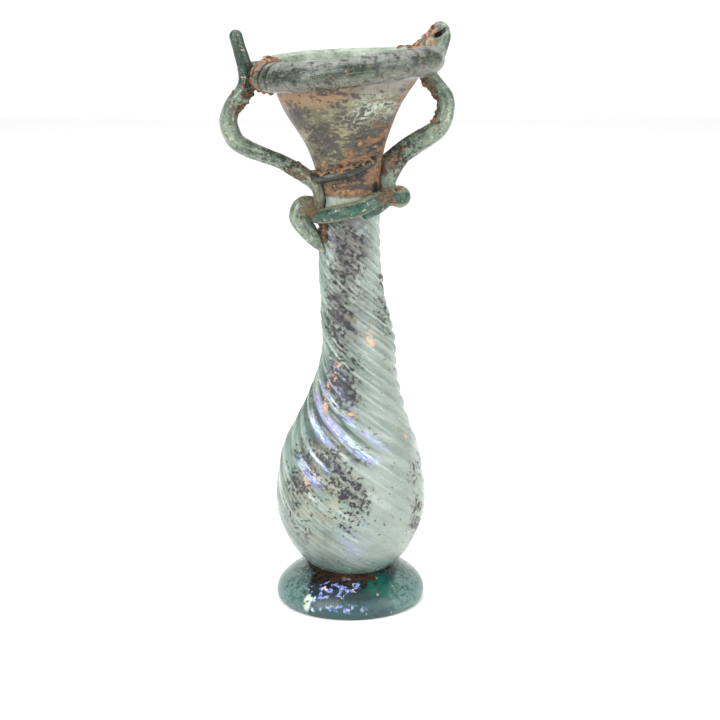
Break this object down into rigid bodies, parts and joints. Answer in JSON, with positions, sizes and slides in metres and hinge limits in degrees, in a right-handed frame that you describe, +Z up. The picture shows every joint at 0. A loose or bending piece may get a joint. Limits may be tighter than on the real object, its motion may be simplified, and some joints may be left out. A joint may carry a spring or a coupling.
{
  "type": "glass amphoriskos",
  "caption": "Small blown glass flask with a pear-shaped body, twisted ribs, a tall neck, a funnel mouth with rolled rim, angular rod handles and a pad foot.",
  "frame": {"origin": "centre of the foot's flat underside", "axes": "+Z up along the flask, +X towards the handle with the pinched loop, -Y is the front"},
  "size_m": [0.0579, 0.0474, 0.1493],
  "materials": {
    "aqua_glass": "pale aqua blown glass with iridescent weathering, brown soil in the hollows and dark green rods and foot"
  },
  "bodies": {
    "root": {"amphoriskos": "aqua_glass"}
  },
  "joints": []
}
